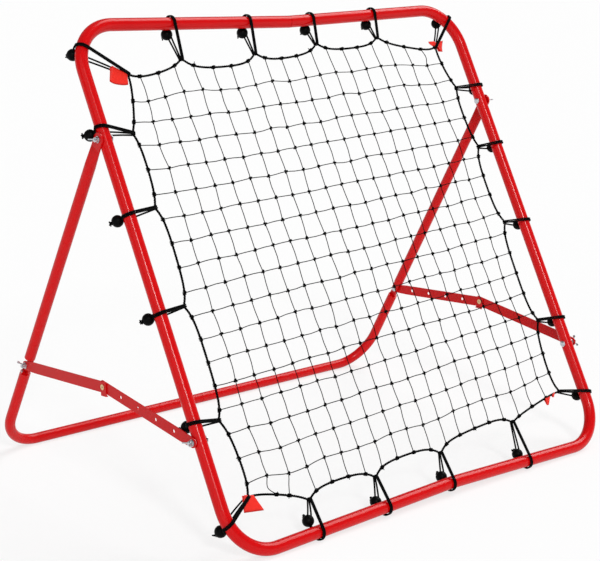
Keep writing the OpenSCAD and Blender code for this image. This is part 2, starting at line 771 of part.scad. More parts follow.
// Outward direction at a ring, square to the rope's run.
function rope_out(i) =
    let (d = rope_path[(i + 1) % rope_count] - rope_path[(i + rope_count - 1) % rope_count])
    [-d[1], d[0]] / norm(d);
rope_points = [for (i = [0 : rope_count - 1]) for (n = [0 : rope_sides - 1])
    let (a = 360 * n / rope_sides + 30, p = rope_path[i] + rope_out(i) * cos(a) * rope_d / 2)
    [p[0], sin(a) * rope_d / 2, p[1]]];
rope_faces = [for (i = [0 : rope_count - 1]) for (n = [0 : rope_sides - 1])
    let (m = (n + 1) % rope_sides, a = i * rope_sides, b = (i + 1) % rope_count * rope_sides)
    each quad(a + n, b + n, b + m, a + m, 1)];

module net_border_rope() {
    color(BLACK) in_frame_plane() polyhedron(rope_points, rope_faces);
}

// Fabric tab folded over the rope at a corner, turned in the net's plane.
module corner_tag(i) {
    color(TAG) in_frame_plane() translate([tag_at[i][0], 0, tag_at[i][1]])
        rotate([0, tag_turn[i], 0]) translate(-tag_size / 2) cube(tag_size);
}

module corner_tag_top_left() { corner_tag(0); }
module corner_tag_top_right() { corner_tag(1); }
module corner_tag_bottom_left() { corner_tag(2); }
module corner_tag_bottom_right() { corner_tag(3); }

// ---- Bungees ----------------------------------------------------------------------------

// How far a bar is drawn in at a place across.
function bar_drop(across, joint) = bar_draw * clip(
    across < joint ? (bend_x + across) / (bend_x + joint) : (bend_x - across) / (bend_x - joint),
    0, 1);
function top_tube(across) = [across, frame_size - bar_drop(across, top_joint_x)];
function bottom_tube(across) = [across, bar_drop(across, bottom_joint_x)];
function corner_tube(side, high, angle) =
    [side * bend_x, high ? frame_size - corner_r : corner_r]
    + corner_r * [cos(angle), sin(angle)];

// Pairs of a place on the tube and the place on the net's rope, per side.
top_pairs = [for (i = [0 : 3]) [top_tube(top_band[i]), top_hold[i + 1]]];
bottom_pairs = [for (i = [0 : 3]) [bottom_tube(bottom_band[i]), bottom_hold[i + 1]]];
left_pairs = [for (i = [0 : 3]) [[-half_w, left_band[i]], left_hold[i + 1]]];
right_pairs = [for (i = [0 : 3]) [[half_w, right_band[i]], right_hold[i + 1]]];
corner_pairs = [
    [corner_tube(-1, true, top_left_band), top_hold[0]],
    [corner_tube(1, true, top_right_band), top_hold[5]],
    [corner_tube(-1, false, bottom_left_band), bottom_hold[0]],
    [[half_w, bottom_right_band], bottom_hold[5]]];

// x from the tube's centre to the rope's, y behind the frame, z along the tube.
module at_bungee(pair) {
    d = pair[1] - pair[0];
    in_frame_plane() translate([pair[0][0], 0, pair[0][1]]) rotate([0, -atan2(d[1], d[0]), 0])
        children();
}

module cord_run(from, to) {
    d = to - from;
    translate([from[0], from[1], 0]) rotate([0, 0, atan2(d[1], d[0])]) rotate([0, 90, 0])
        cylinder(h = norm(d), d = cord_d);
}

module cord_turn(r, from, to) {
    rotate([0, 0, from]) rotate_extrude(angle = to - from) translate([r, 0])
        circle(d = cord_d);
}

// Short ring over the seam between a run of cord and a turn, which joins the two; its axis
// lies in the cord's plane, at angle to x.
module cord_ring(place, angle) {
    translate([place[0], place[1], 0]) rotate([0, 0, angle]) rotate([0, 90, 0])
        translate([0, 0, -cord_ring_w / 2])
            cylinder(h = cord_ring_w, d = cord_d + 2 * seam_ring_t);
}

// Shortens a run at both ends by the seam gap.
module seamed_run(from, to) {
    step = (to - from) / norm(to - from) * seam_gap;
    cord_run(from + step, to - step);
}

// One strand: from the ball to the rope, round it, back and round the tube to the ball.
module cord_strand(reach, ball_at) {
    ball = ball_reach * [cos(ball_at), sin(ball_at)];
    front_tilt = asin((cord_turn_r - rope_turn_r) / reach);
    span = [reach, 0] - ball;
    back_angle = atan2(span[1], span[0]) + asin(rope_turn_r / norm(span));
    rope_back = [reach, 0] + rope_turn_r * [-sin(back_angle), cos(back_angle)];
    rope_front = [reach, 0] + rope_turn_r * [sin(front_tilt), -cos(front_tilt)];
    tube_front = cord_turn_r * [sin(front_tilt), -cos(front_tilt)];
    seamed_run(ball, rope_back);
    seamed_run(tube_front, rope_front);
    cord_ring(rope_back, back_angle);
    cord_ring(rope_front, front_tilt);
    cord_ring(tube_front, front_tilt);
    translate([reach, 0, 0]) cord_turn(rope_turn_r, front_tilt - 90, 90 + back_angle);
    cord_turn(cord_turn_r, ball_at + ball_lead, 270 + front_tilt);
}

module bungee_cords(pairs, balls_at) {
    color(BLACK) for (i = [0 : len(pairs) - 1]) at_bungee(pairs[i]) for (z = [-1, 1])
        translate([0, 0, z * (cord_d / 2 + strand_gap)])
            cord_strand(norm(pairs[i][1] - pairs[i][0]), balls_at[i]);
}

module above_ground() {
    translate([-frame_size, -frame_size, 0]) cube(2 * frame_size);
}

module bungee_balls(pairs, balls_at) {
    color(BLACK) for (i = [0 : len(pairs) - 1]) at_bungee(pairs[i])
        translate(ball_reach * [cos(balls_at[i]), sin(balls_at[i]), 0]) sphere(d = ball_d);
}

module bungee_cords_top() { bungee_cords(top_pairs, top_ball_at); }
module bungee_cords_bottom() {
    intersection() {
        bungee_cords(bottom_pairs, bottom_ball_at);
        above_ground();
    }
}
module bungee_cords_left() { bungee_cords(left_pairs, left_ball_at); }
module bungee_cords_right() { bungee_cords(right_pairs, right_ball_at); }
module bungee_cords_corner() { bungee_cords(corner_pairs, corner_ball_at); }
module bungee_balls_top() { bungee_balls(top_pairs, top_ball_at); }
module bungee_balls_bottom() { bungee_balls(bottom_pairs, bottom_ball_at); }
module bungee_balls_left() { bungee_balls(left_pairs, left_ball_at); }
module bungee_balls_right() { bungee_balls(right_pairs, right_ball_at); }
module bungee_balls_corner() { bungee_balls(corner_pairs, corner_ball_at); }

frame_half_left();
frame_half_right();
frame_snap_buttons();
rear_leg(-1);  // rear_leg_left
rear_leg(1);  // rear_leg_right
rear_base_left();
rear_base_right();
rear_snap_button();
hinge_bolts();
hinge_washers();
hinge_wing_nuts();
stay_front_left();
stay_front_right();
stay_rear_left();
stay_rear_right();
knee_rivet_head_left();
knee_rivet_head_right();
knee_rivet_tail_left();
knee_rivet_tail_right();
front_stay_bolts();
front_stay_spacers();
front_stay_washers();
front_stay_wing_nuts();
rear_stay_bolts();
rear_stay_spacer();
rear_stay_washers();
rear_stay_wing_nuts();
net_mesh();
net_border_rope();
corner_tag_top_left();
corner_tag_top_right();
corner_tag_bottom_left();
corner_tag_bottom_right();
bungee_cords_top();
bungee_cords_bottom();
bungee_cords_left();
bungee_cords_right();
bungee_cords_corner();
bungee_balls_top();
bungee_balls_bottom();
bungee_balls_left();
bungee_balls_right();
bungee_balls_corner();
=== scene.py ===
import json
import math
import random

import bpy
import numpy as np
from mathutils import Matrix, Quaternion, Vector


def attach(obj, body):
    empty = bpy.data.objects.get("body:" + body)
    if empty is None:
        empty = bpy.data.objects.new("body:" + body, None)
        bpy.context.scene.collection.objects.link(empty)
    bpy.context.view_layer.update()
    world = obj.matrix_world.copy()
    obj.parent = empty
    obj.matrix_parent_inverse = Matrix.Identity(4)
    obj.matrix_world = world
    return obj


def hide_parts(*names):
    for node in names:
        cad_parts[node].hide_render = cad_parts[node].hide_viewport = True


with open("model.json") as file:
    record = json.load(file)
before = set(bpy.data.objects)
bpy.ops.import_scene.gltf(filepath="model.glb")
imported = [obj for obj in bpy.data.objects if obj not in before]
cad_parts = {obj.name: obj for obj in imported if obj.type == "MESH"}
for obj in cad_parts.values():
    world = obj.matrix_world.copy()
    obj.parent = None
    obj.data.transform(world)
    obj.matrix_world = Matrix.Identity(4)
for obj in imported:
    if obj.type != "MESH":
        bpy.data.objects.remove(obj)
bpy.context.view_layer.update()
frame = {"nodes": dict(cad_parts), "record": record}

MM = 0.001

# ---- Sizes of the frame, in millimetres -------------------------------------------------

LEAN = math.radians(29.5)
FRAME_SIZE = 1025.0
TUBE_R = 12.5
CORNER_R = 90.0
BAR_DRAW = 11.0
TOP_JOINT = 21.0
BOTTOM_JOINT = 41.0
MID_Y = 379.4105            # from the bottom bar's axis back to the middle of the footprint
HALF_W = FRAME_SIZE / 2
BEND_X = HALF_W - CORNER_R

# ---- Sizes of the net and its bungees, in millimetres -------------------------------------

NET_COLS, NET_ROWS = 19, 18
TWINE_R = 0.9
TWINE_SIDES = 6
TWINE_STEPS, SLACK_STEPS = 2, 6     # steps in each half of a mesh's side, taut or slack
KNOT_R = 2.7                # size of a net knot
KNOT_TWINE_R = 1.6
KNOT_WANDER = 1.6           # how far a knot lies off its mark
ROPE_R = 2.3
ROPE_STRANDS = 3
STRAND_AT, STRAND_R = 0.52, 0.54    # a strand's middle and radius, as parts of the rope's radius
ROPE_LAY = 15.0             # length of one turn of the rope's strands
ROPE_STEP = 1.9             # between the rope's points
# How far each side is drawn in between two bungees, left to right or from the top down.
TOP_SAG = [16, 25, 22, 20, 14]
BOTTOM_SAG = [9, 20, 22, 20.5, 6]
LEFT_SAG = [8, 11, 15.5, 16, 14]
RIGHT_SAG = [9.5, 12.5, 19.5, 19.5, 19]
SAG_LEAD = 22.0             # distance from a bungee over which the border draws in
EDGE_FADE = 1.6             # meshes over which the edge's shape dies away inside the net
# Where the bungees hold the border, as (across, up the frame), and at which mesh of the side.
TOP_HOLD = [(-418, 923), (-282, 948), (-95, 950), (78, 963), (258, 969), (428, 937)]
BOTTOM_HOLD = [(-450, 100), (-316, 62), (-144, 65), (40, 71), (266, 88), (438, 122)]
LEFT_HOLD = [(-418, 923), (-449, 805), (-452, 657), (-457, 465), (-460, 247), (-450, 100)]
RIGHT_HOLD = [(428, 937), (450, 835), (455, 693), (454, 513), (450, 284), (438, 122)]
TOP_AT = [0.4, 3.5, 7.5, 11.5, 15.5, 19]
BOTTOM_AT = [0, 2.5, 6.5, 10.5, 15.5, 19]
LEFT_AT = [-0.3, 2.5, 5.5, 9.5, 14.4, 17.5]
RIGHT_AT = [0, 2.5, 5.5, 9.5, 14.4, 18]
MESH_CORNERS = [(-437, 909), (428, 943), (-437, 78), (437, 117)]
# Upright twines that have slipped along the bottom border: by column, the mesh they end at.
BOTTOM_ENDS = {1: 1.22, 2: 1.73}
# Upright twines with a stretch that hangs loose: by column, the stretch and its bow.
SLACK = {1: {NET_ROWS - 1: -10.0}, NET_COLS - 1: {0: 8.0}, NET_COLS - 2: {NET_ROWS - 1: -4.0}}

# Where the bungees go round the tubes: across on the bars, up the frame on the uprights, and
# in degrees round the bends.
TOP_LOOPS = (-281, -90, 81, 262)
BOTTOM_LOOPS = (-318, -143, 38, 267)
LEFT_LOOPS = (820, 650, 459, 252)
RIGHT_LOOPS = (834, 694, 508, 277)
TOP_LEFT_BEND, TOP_RIGHT_BEND, BOTTOM_LEFT_BEND = 151, 43, 196
BOTTOM_RIGHT_UP = 105       # the last one goes round the upright, just above its bend

BALL_R = 11.5
CORD_R = 1.75
CORD_SLACK = 0.9            # between the cord and the tube
ROPE_SLACK = 0.2            # and between the cord and the rope
ROPE_CORE_R = 2.25          # radius that the cord turns round, on the rope
CORD_TURN_R = TUBE_R + CORD_SLACK + CORD_R      # radius of the cord's turn round the tube
ROPE_TURN_R = ROPE_CORE_R + ROPE_SLACK + CORD_R     # and round the rope
BALL_REACH = CORD_TURN_R - CORD_R + BALL_R      # from the tube's middle to the ball's
STRAND_Z = CORD_R + 0.1     # from a bungee's middle to each of its two strands

rng = random.Random(41)


def flat(*pair):
    return np.array(pair, float)


def in_frame(place, behind=0.0):
    """A place (across, up the frame) in millimetres as a place in metres, so far behind the
    net's plane."""
    across, up = place
    return np.array([across,
                     up * math.sin(LEAN) + behind * math.cos(LEAN) - MID_Y,
                     TUBE_R + up * math.cos(LEAN) - behind * math.sin(LEAN)]) * MM


# ---- Mesh building ------------------------------------------------------------------------

def unit(v):
    return v / np.linalg.norm(v)


def across_path(path, closed):
    """Two directions square to a path at each of its points, without twist."""
    if closed:
        tangent = np.roll(path, -1, 0) - np.roll(path, 1, 0)
    else:
        tangent = np.gradient(path, axis=0)
    tangent /= np.linalg.norm(tangent, axis=1)[:, None]
    start = np.eye(3)[np.argmin(np.abs(tangent[0]))]
    normals = []
    last = start
    for t in tangent:
        last = unit(last - t * (last @ t))
        normals.append(last)
    normals = np.array(normals)
    binormals = np.cross(tangent, normals)
    if closed:
        end = unit(last - tangent[0] * (last @ tangent[0]))
        twist = math.atan2(end @ binormals[0], end @ normals[0])
        angle = -twist * np.arange(len(path)) / len(path)
        c, s = np.cos(angle)[:, None], np.sin(angle)[:, None]
        normals, binormals = normals * c + binormals * s, binormals * c - normals * s
    return normals, binormals


class Shape:
    """Points and faces of one piece, with a lay at each face corner: millimetres along, and
    the part of a turn round."""

    def __init__(self):
        self.points, self.faces, self.lays = [], [], []

    def face(self, corners, lay):
        self.faces.append(tuple(corners))
        self.lays.extend(lay)

    def strand(self, path, radius, sides=8, closed=False):
        """A round strand along a path in metres; its radius in millimetres may differ from
        point to point."""
        path = np.asarray(path, float)
        count = len(path)
        radii = np.broadcast_to(np.asarray(radius, float) * MM, (count,))
        normals, binormals = across_path(path, closed)
        base = len(self.points)
        turn = 2 * math.pi * np.arange(sides) / sides
        rings = (path[:, None] + radii[:, None, None]
                 * (normals[:, None] * np.cos(turn)[None, :, None]
                    + binormals[:, None] * np.sin(turn)[None, :, None]))
        self.points.extend(rings.reshape(-1, 3))
        steps = np.linalg.norm(np.diff(path, axis=0, append=path[:1]), axis=1) / MM
        along = np.concatenate([[0.0], np.cumsum(steps)])
        for i in range(count if closed else count - 1):
            j = (i + 1) % count
            for k in range(sides):
                m = (k + 1) % sides
                self.face((base + i * sides + k, base + i * sides + m,
                           base + j * sides + m, base + j * sides + k),
                          [(along[i], k / sides), (along[i], (k + 1) / sides),
                           (along[i + 1], (k + 1) / sides), (along[i + 1], k / sides)])
        if not closed:
            first = [base + k for k in range(sides)][::-1]
            last = [base + (count - 1) * sides + k for k in range(sides)]
            self.face(first, [(0.0, k / sides) for k in range(sides)])
            self.face(last, [(along[count - 1], k / sides) for k in range(sides)])

    def turned(self, profile, centre, axis, sides=28):
        """A turned form: profile pairs of (along the axis, radius) in millimetres, closed at
        both ends."""
        axis = unit(axis)
        side = unit(np.cross(axis, np.eye(3)[np.argmin(np.abs(axis))]))
        other = np.cross(axis, side)
        base = len(self.points)
        for along, radius in profile:
            for k in range(sides):
                a = 2 * math.pi * k / sides
                self.points.append(centre + (axis * along + radius * (
                    side * math.cos(a) + other * math.sin(a))) * MM)
        for i in range(len(profile) - 1):
            for k in range(sides):
                m = (k + 1) % sides
                lay = [(profile[i][0], k / sides), (profile[i][0], (k + 1) / sides),
                       (profile[i + 1][0], (k + 1) / sides), (profile[i + 1][0], k / sides)]
                self.face((base + i * sides + k, base + i * sides + m,
                           base + (i + 1) * sides + m, base + (i + 1) * sides + k), lay)
        for row, order in ((0, -1), (len(profile) - 1, 1)):
            ring = [base + row * sides + k for k in range(sides)][::order]
            self.face(ring, [(profile[row][0], k / sides) for k in range(sides)])

    def sheet(self, grid):
        """A cloth from rows of points in metres; its lay is the column and the row."""
        rows, cols = grid.shape[:2]
        base = len(self.points)
        self.points.extend(grid.reshape(-1, 3))
        for r in range(rows - 1):
            for c in range(cols - 1):
                a = base + r * cols + c
                self.face((a, a + 1, a + cols + 1, a + cols),
                          [(c, r), (c + 1, r), (c + 1, r + 1), (c, r + 1)])

    def piece(self, name, material, slot, body="main_frame", stands_for=()):
        mesh = bpy.data.meshes.new(name)
        mesh.from_pydata([tuple(p) for p in self.points], [], self.faces)
        layer = mesh.uv_layers.new(name="lay")
        layer.data.foreach_set("uv", np.array(self.lays, np.float32).ravel())
        mesh.polygons.foreach_set("use_smooth", [True] * len(mesh.polygons))
        mesh.materials.append(material)
        obj = bpy.data.objects.new(name, mesh)
        bpy.context.scene.collection.objects.link(obj)
        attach(obj, body)
        if stands_for:
            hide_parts(*stands_for)
        return obj


def smooth_path(points, steps):
    """A smooth curve (Catmull-Rom) through points, with so many steps between two of them."""
    points = np.asarray(points, float)
    ends = np.vstack([2 * points[0] - points[1], points, 2 * points[-1] - points[-2]])
    curve = []
    for i in range(len(points) - 1):
        a, b, c, d = ends[i:i + 4]
        for n in range(steps):
            t = n / steps
            curve.append(0.5 * (2 * b + (c - a) * t + (2 * a - 5 * b + 4 * c - d) * t * t
                                + (3 * b - a - 3 * c + d) * t ** 3))
    curve.append(points[-1])
    return np.array(curve)


# ---- Materials ----------------------------------------------------------------------------

def colour(code):
    """sRGB hex to linear."""
    parts = [int(code[i:i + 2], 16) / 255 for i in (1, 3, 5)]
    return tuple(p / 12.92 if p <= 0.04045 else ((p + 0.055) / 1.055) ** 2.4
                 for p in parts) + (1.0,)


def add(tree, kind, settings=None, links=None):
    """Adds a node; settings are its own or its sockets' values, links come into its sockets."""
    node = tree.nodes.new(kind)
    for key, value in (settings or {}).items():
        if isinstance(key, int) or key in node.inputs:
            node.inputs[key].default_value = value
        else:
            setattr(node, key, value)
    for key, source in (links or {}).items():
        tree.links.new(source, node.inputs[key])
    return node


def per_metre(size_mm):
    """Pattern scale for features of this size."""
    return 1 / (size_mm * MM)


def surface(name, settings, links=None):
    """A new material with one Principled shader; links is filled by a function of its tree."""
    material = bpy.data.materials.new(name)
    material.use_nodes = True
    tree = material.node_tree
    tree.nodes.clear()
    shader = add(tree, "ShaderNodeBsdfPrincipled", settings, links(tree) if links else None)
    add(tree, "ShaderNodeOutputMaterial", links={"Surface": shader.outputs[0]})
    return material


def powder_coat(name, body_colour, thin_colour, roughness):
    """Steel tube with a baked polyester powder coat: a clean red gloss with a faint orange peel,
    slightly darker where the coat came out thin."""
    peel, patches, relief = 1.6, 70.0, 0.04

    def coat(tree):
        place = add(tree, "ShaderNodeTexCoord").outputs["Object"]
        thick = add(tree, "ShaderNodeTexNoise", {"Scale": per_metre(patches), "Detail": 3.0},
                    {"Vector": place})
        tone = add(tree, "ShaderNodeMix", {"data_type": "RGBA", 6: colour(thin_colour),
                                           7: colour(body_colour)},
                   {0: thick.outputs["Fac"]})
        gloss = add(tree, "ShaderNodeMapRange", {"To Min": roughness - 0.04,
                                                 "To Max": roughness + 0.05},
                    {"Value": thick.outputs["Fac"]})
        grain = add(tree, "ShaderNodeTexNoise", {"Scale": per_metre(peel), "Detail": 1.5},
                    {"Vector": place})
        bump = add(tree, "ShaderNodeBump", {"Strength": 0.25, "Distance": relief * MM},
                   {"Height": grain.outputs["Fac"]})
        return {"Base Color": tone.outputs[2], "Roughness": gloss.outputs[0],
                "Normal": bump.outputs[0]}

    return surface(name, {"IOR": 1.5, "Specular IOR Level": 0.18}, coat)


def plated_metal(name, bright, dull, roughness):
    """Pressed or turned metal, zinc-plated or brass: bright, and faintly clouded."""
    clouds, grain_size, relief = 3.0, 0.5, 0.02

    def plate(tree):
        place = add(tree, "ShaderNodeTexCoord").outputs["Object"]
        cloud = add(tree, "ShaderNodeTexNoise", {"Scale": per_metre(clouds), "Detail": 4.0},
                    {"Vector": place})
        tone = add(tree, "ShaderNodeMix", {"data_type": "RGBA", 6: colour(dull),
                                           7: colour(bright)}, {0: cloud.outputs["Fac"]})
        gloss = add(tree, "ShaderNodeMapRange", {"To Min": roughness - 0.06,
                                                 "To Max": roughness + 0.1},
                    {"Value": cloud.outputs["Fac"]})
        grain = add(tree, "ShaderNodeTexNoise", {"Scale": per_metre(grain_size)},
                    {"Vector": place})
        bump = add(tree, "ShaderNodeBump", {"Strength": 0.2, "Distance": relief * MM},
                   {"Height": grain.outputs["Fac"]})
        return {"Base Color": tone.outputs[2], "Roughness": gloss.outputs[0],
                "Normal": bump.outputs[0]}

    return surface(name, {"Metallic": 1.0}, plate)


def laid_fibre(name, painted_groove_shade, light, pitch, strands, crossed, depth, roughness):
    """Black plastic or elastic fibre, twisted or braided: dull, with ridges that run round the
    strand.
    Crossed ridges make a braid; the pitch is drawn no finer than shows. The grooves between
    the ridges are painted a darker black: painted shade."""
    turn = 2 * math.pi / 10     # the wave texture's diagonal bands repeat after 2 pi / 10

    def lay(tree):
        run = add(tree, "ShaderNodeUVMap", {"uv_map": "lay"}).outputs[0]
        waves = []
        for side in ((1, -1) if crossed else (1,)):
            along = add(tree, "ShaderNodeMapping",
                        {"Scale": (turn / pitch, side * turn * strands, 1.0)}, {"Vector": run})
            waves.append(add(tree, "ShaderNodeTexWave",
                             {"bands_direction": "DIAGONAL", "Scale": 1.0},
                             {"Vector": along.outputs[0]}).outputs["Fac"])
        height = waves[0]
        if crossed:
            height = add(tree, "ShaderNodeMath", {"operation": "MAXIMUM"},
                         {0: waves[0], 1: waves[1]}).outputs[0]
        # painted shade: the grooves between the ridges take the darker black, the ridge tops the
        # lighter one
        tone = add(tree, "ShaderNodeMix", {"data_type": "RGBA", 6: colour(painted_groove_shade),
                                           7: colour(light)}, {0: height})
        bump = add(tree, "ShaderNodeBump", {"Strength": 0.8, "Distance": depth * MM},
                   {"Height": height})
        return {"Base Color": tone.outputs[2], "Normal": bump.outputs[0]}

    return surface(name, {"Roughness": roughness, "IOR": 1.48, "Specular IOR Level": 0.04},
                   lay)


def moulded_plastic(name, body_colour, worn_colour):
    """Injection-moulded polypropylene ball: black, satin, with a fine spark-eroded grain."""
    grain_size, scuffs, relief = 0.7, 9.0, 0.05
    smooth, worn = 0.34, 0.5    # roughness

    def skin(tree):
        place = add(tree, "ShaderNodeTexCoord").outputs["Object"]
        scuff = add(tree, "ShaderNodeTexNoise", {"Scale": per_metre(scuffs), "Detail": 4.0},
                    {"Vector": place})
        tone = add(tree, "ShaderNodeMix", {"data_type": "RGBA", 6: colour(body_colour),
                                           7: colour(worn_colour)}, {0: scuff.outputs["Fac"]})
        gloss = add(tree, "ShaderNodeMapRange", {"To Min": smooth, "To Max": worn},
                    {"Value": scuff.outputs["Fac"]})
        grain = add(tree, "ShaderNodeTexNoise", {"Scale": per_metre(grain_size)},
                    {"Vector": place})
        bump = add(tree, "ShaderNodeBump", {"Strength": 0.3, "Distance": relief * MM},
                   {"Height": grain.outputs["Fac"]})
        return {"Base Color": tone.outputs[2], "Roughness": gloss.outputs[0],
                "Normal": bump.outputs[0]}

    return surface(name, {"IOR": 1.49, "Specular IOR Level": 0.06}, skin)


def coated_fabric(name, thread_colour, painted_gap_shade):
    """Woven polyester with a thin coating: bright red-orange with a square weave, drawn at
    1.2 mm so that it shows; the gaps between the threads are painted a darker red as painted
    shade."""
    thread, relief = 1.2, 0.15

    def weave(tree):
        place = add(tree, "ShaderNodeTexCoord").outputs["Object"]
        turn = 2 * math.pi / 20     # straight bands repeat after 2 pi / 20
        ridges = []
        for way in ("X", "Z"):
            spread = add(tree, "ShaderNodeMapping",
                         {"Scale": (per_metre(thread) * turn,) * 3}, {"Vector": place})
            ridges.append(add(tree, "ShaderNodeTexWave",
                              {"bands_direction": way, "Scale": 1.0},
                              {"Vector": spread.outputs[0]}).outputs["Fac"])
        height = add(tree, "ShaderNodeMath", {"operation": "MULTIPLY"},
                     {0: ridges[0], 1: ridges[1]}).outputs[0]
        # painted shade: the gaps between the threads take the darker red, the thread crowns the
        # brighter one
        tone = add(tree, "ShaderNodeMix", {"data_type": "RGBA", 6: colour(painted_gap_shade),
                                           7: colour(thread_colour)}, {0: height})
        bump = add(tree, "ShaderNodeBump", {"Strength": 0.4, "Distance": relief * MM},
                   {"Height": height})
        return {"Base Color": tone.outputs[2], "Normal": bump.outputs[0]}

    return surface(name, {"Roughness": 0.45, "IOR": 1.5, "Specular IOR Level": 0.3,
                          "Sheen Weight": 0.05}, weave)


frame_coat = powder_coat("powder_coated_frame_tube", "#CD060A", "#C30508", 0.18)
support_coat = powder_coat("powder_coated_support_tube", "#CC090D", "#C2070A", 0.26)
stay_coat = powder_coat("powder_coated_flat_bar", "#C6090D", "#BC070A", 0.30)
zinc = plated_metal("bright_zinc_plated_steel", "#D6D9DC", "#A9AEB4", 0.27)
brass = plated_metal("yellow_brass_rivet", "#E8CBA2", "#BF9C6E", 0.25)
# In each fibre the first, darker black is painted shade for the grooves between its ridges.
net_twine = laid_fibre("twisted_polyethylene_twine", "#020202", "#080809", 3.0, 2, False,
                       0.25, 0.6)
rope_fibre = laid_fibre("laid_polypropylene_rope_strand", "#020202", "#080809", 2.4, 3, False,
                        0.2, 0.62)
elastic = laid_fibre("braided_elastic_cord_sleeve", "#020202", "#080809", 3.2, 4, True,
                     0.3, 0.66)
ball_plastic = moulded_plastic("moulded_black_polypropylene", "#020202", "#060607")
# The tag's second red, #E01F10, is painted shade in the gaps of the weave.
tag_cloth = coated_fabric("coated_polyester_fabric", "#FA2C18", "#E01F10")

FINISH = {"frame_red": frame_coat, "support_red": support_coat, "stay_red": stay_coat,
          "zinc": zinc, "rivet_brass": brass, "net_twine": net_twine,
          "border_rope": rope_fibre, "tag_fabric": tag_cloth, "elastic_cord": elastic,
          "bungee_ball": ball_plastic}
for part in frame["record"]["subparts"]:
    node = frame["nodes"][part["node"]]
    node.data.materials.clear()
    node.data.materials.append(FINISH[part["material_slot"]])

# ---- The net's plan -----------------------------------------------------------------------

def side_point(side, k):
    """Point on a side at mesh k, drawn in towards the net between two holds."""
    hold, at, sag, inward = side
    k = min(max(k, at[0]), at[-1])
    i = 0
    while i < len(at) - 2 and k > at[i + 1]:
        i += 1
    t = (k - at[i]) / (at[i + 1] - at[i])
    start, end = flat(*hold[i]), flat(*hold[i + 1])
    length = np.linalg.norm(end - start)
    dip = (sag[i] * (1 - math.exp(-t * length / SAG_LEAD))
           * (1 - math.exp(-(1 - t) * length / SAG_LEAD)))
    return start * (1 - t) + end * t + flat(*inward) * dip


TOP = (TOP_HOLD, TOP_AT, TOP_SAG, (0, -1))
BOTTOM = (BOTTOM_HOLD, BOTTOM_AT, BOTTOM_SAG, (0, 1))
LEFT = (LEFT_HOLD, LEFT_AT, LEFT_SAG, (1, 0))
RIGHT = (RIGHT_HOLD, RIGHT_AT, RIGHT_SAG, (-1, 0))


def top_point(s):
    return side_point(TOP, s * NET_COLS)


def bottom_point(s):
    return side_point(BOTTOM, s * NET_COLS)


def left_point(t):
    return side_point(LEFT, t * NET_ROWS)


def right_point(t):
    return side_point(RIGHT, t * NET_ROWS)


def even_point(s, t):
    """Straight mesh without the pull of the bungees; s runs right and t runs down."""
    a, b, c, d = (flat(*p) for p in MESH_CORNERS)
    return (a * (1 - s) + b * s) * (1 - t) + (c * (1 - s) + d * s) * t


def net_point(s, t):
    """The sides' shape, faded towards the middle of the net."""
    near_l, near_r = math.exp(-s * NET_COLS / EDGE_FADE), math.exp(-(1 - s) * NET_COLS / EDGE_FADE)
    near_t, near_b = math.exp(-t * NET_ROWS / EDGE_FADE), math.exp(-(1 - t) * NET_ROWS / EDGE_FADE)
    point = (even_point(s, t) + (top_point(s) - even_point(s, 0)) * near_t
             + (bottom_point(s) - even_point(s, 1)) * near_b
             + (left_point(t) - even_point(0, t)) * near_l
             + (right_point(t) - even_point(1, t)) * near_r)
    for corner, edge, weight in ((0, 0, near_l * near_t), (1, 0, near_r * near_t),
                                 (0, 1, near_l * near_b), (1, 1, near_r * near_b)):
        point = point - ((top_point, bottom_point)[edge](corner)
                         - even_point(corner, edge)) * weight
    return point


# ---- Knotted net --------------------------------------------------------------------------

def knot_plan():
    """Places of the knots, (across, up, behind) in millimetres, each a little off its mark."""
    plan = {}
    for j in range(NET_ROWS + 1):
        for i in range(NET_COLS + 1):
            s, t = i / NET_COLS, j / NET_ROWS
            inside = 0 < i < NET_COLS and 0 < j < NET_ROWS
            if inside:
                p = net_point(s, t)
            elif j == NET_ROWS:
                p = bottom_point(BOTTOM_ENDS.get(i, i) / NET_COLS)
            elif j == 0:
                p = top_point(s)
            else:
                p = (right_point if i else left_point)(t)
            loose = KNOT_WANDER if inside else 0.0
            plan[i, j] = np.array([p[0] + rng.uniform(-loose, loose),
                                   p[1] + rng.uniform(-loose, loose),
                                   rng.uniform(-loose, loose)])
    return plan


def twine_path(stops, slack=None):
    """Twine through its knots; between two of them it bows a little, as slack twine does.
    slack gives the bow of a stretch that hangs loose, by the stretch's number."""
    bow_beside, bow_behind = 1.3, 1.2
    points = []
    for n, (a, b) in enumerate(zip(stops[:-1], stops[1:])):
        across = np.array([a[1] - b[1], b[0] - a[0], 0.0]) / np.linalg.norm(b - a)
        bow = (across * rng.uniform(-bow_beside, bow_beside)
               + np.array([0, 0, rng.uniform(-bow_behind, bow_behind)]))
        points += [a, (a + b) / 2 + bow + across * (slack or {}).get(n, 0.0)]
    points.append(stops[-1])
    steps = SLACK_STEPS if slack else TWINE_STEPS
    return np.array([in_frame(p[:2], p[2]) for p in smooth_path(points, steps)])


def knot_loop(centre, size, twine_r, shape, steps=20):
    """A small overhand knot, pulled tight and turned at random: a closed strand that crosses
    itself three times."""
    tilt, lobes, breadth, depth = 0.3, 1.1, 0.55, 0.42
    turn = Quaternion((rng.uniform(-tilt, tilt), 1, rng.uniform(-tilt, tilt)),
                      rng.uniform(0, 2 * math.pi))
    path = []
    for n in range(steps):
        a = 2 * math.pi * n / steps
        local = Vector(((math.sin(a) + lobes * math.sin(2 * a)) * size * breadth,
                        -math.sin(3 * a) * size * depth,
                        (math.cos(a) - lobes * math.cos(2 * a)) * size * breadth))
        path.append(centre + np.array(turn @ local) * MM)
    shape.strand(path, twine_r, TWINE_SIDES, closed=True)


